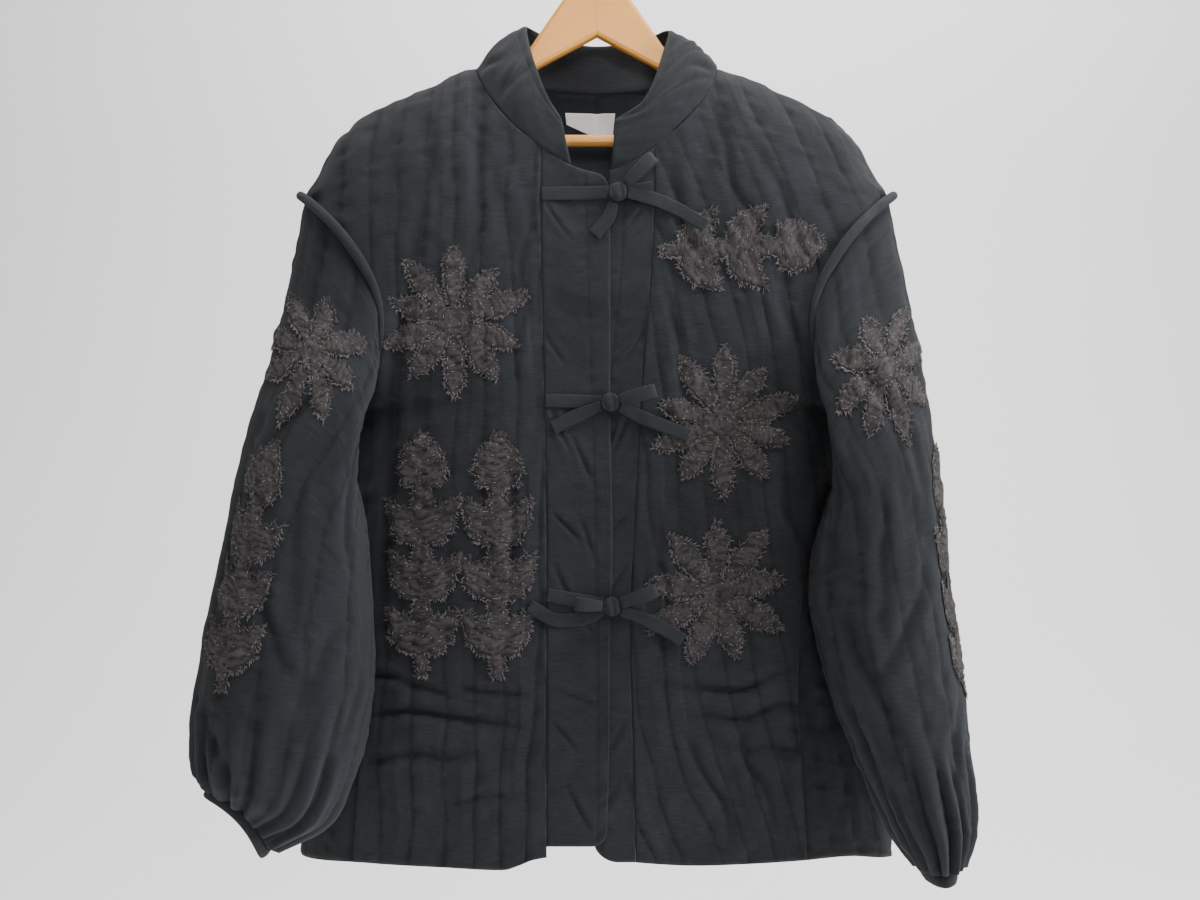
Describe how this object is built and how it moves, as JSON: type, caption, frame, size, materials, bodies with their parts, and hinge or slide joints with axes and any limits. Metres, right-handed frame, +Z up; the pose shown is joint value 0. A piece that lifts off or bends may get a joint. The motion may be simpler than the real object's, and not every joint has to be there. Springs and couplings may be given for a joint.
{
  "type": "quilted patchwork jacket on a wooden hanger",
  "caption": "Quilted stand-collar jacket with balloon sleeves, cloth flower and leaf patches and tied front bands, hung open at neck, cuffs and hem on a plain wooden coat hanger.",
  "frame": {"origin": "the point on the inside of the hanger's hook that rests on a rail", "axes": "+Z up; -Y the way the jacket's front faces; +X the viewer's right, which is the wearer's left side"},
  "size_m": [0.628, 0.1639, 0.8303],
  "materials": {
    "cloth": "washed charcoal cotton, slubbed, thinly padded and quilted",
    "applique": "brownish charcoal cotton with raw edges",
    "label": "bare white woven tape",
    "wood": "pale varnished wood",
    "metal": "bright wire"
  },
  "bodies": {
    "root": {"front_right": "cloth", "front_left": "cloth", "back": "cloth", "band_right": "cloth", "band_left": "cloth", "collar": "cloth", "sleeve_right": "cloth", "sleeve_left": "cloth", "cuff_right": "cloth", "cuff_left": "cloth", "piping_right": "cloth", "piping_left": "cloth", "patch_flower_right": "applique", "patch_stem_right_a": "applique", "patch_stem_right_b": "applique", "patch_spray_left": "applique", "patch_flower_left_a": "applique", "patch_flower_left_b": "applique", "patch_flower_sleeve_right": "applique", "patch_stem_sleeve_right": "applique", "patch_flower_sleeve_left": "applique", "patch_stem_sleeve_left": "applique", "tie1_knot": "cloth", "tie1_strap_right": "cloth", "tie1_strap_left": "cloth", "tie1_loop_a": "cloth", "tie1_end_a": "cloth", "tie1_end_b": "cloth", "tie2_knot": "cloth", "tie2_strap_right": "cloth", "tie2_strap_left": "cloth", "tie2_loop_a": "cloth", "tie2_end_a": "cloth", "tie2_end_b": "cloth", "tie3_knot": "cloth", "tie3_strap_right": "cloth", "tie3_strap_left": "cloth", "tie3_loop_a": "cloth", "tie3_loop_b": "cloth", "tie3_end_a": "cloth", "tie3_end_b": "cloth", "label": "label", "hanger_wood": "wood", "hanger_hook": "metal", "hanger_bar": "wood"}
  },
  "joints": []
}
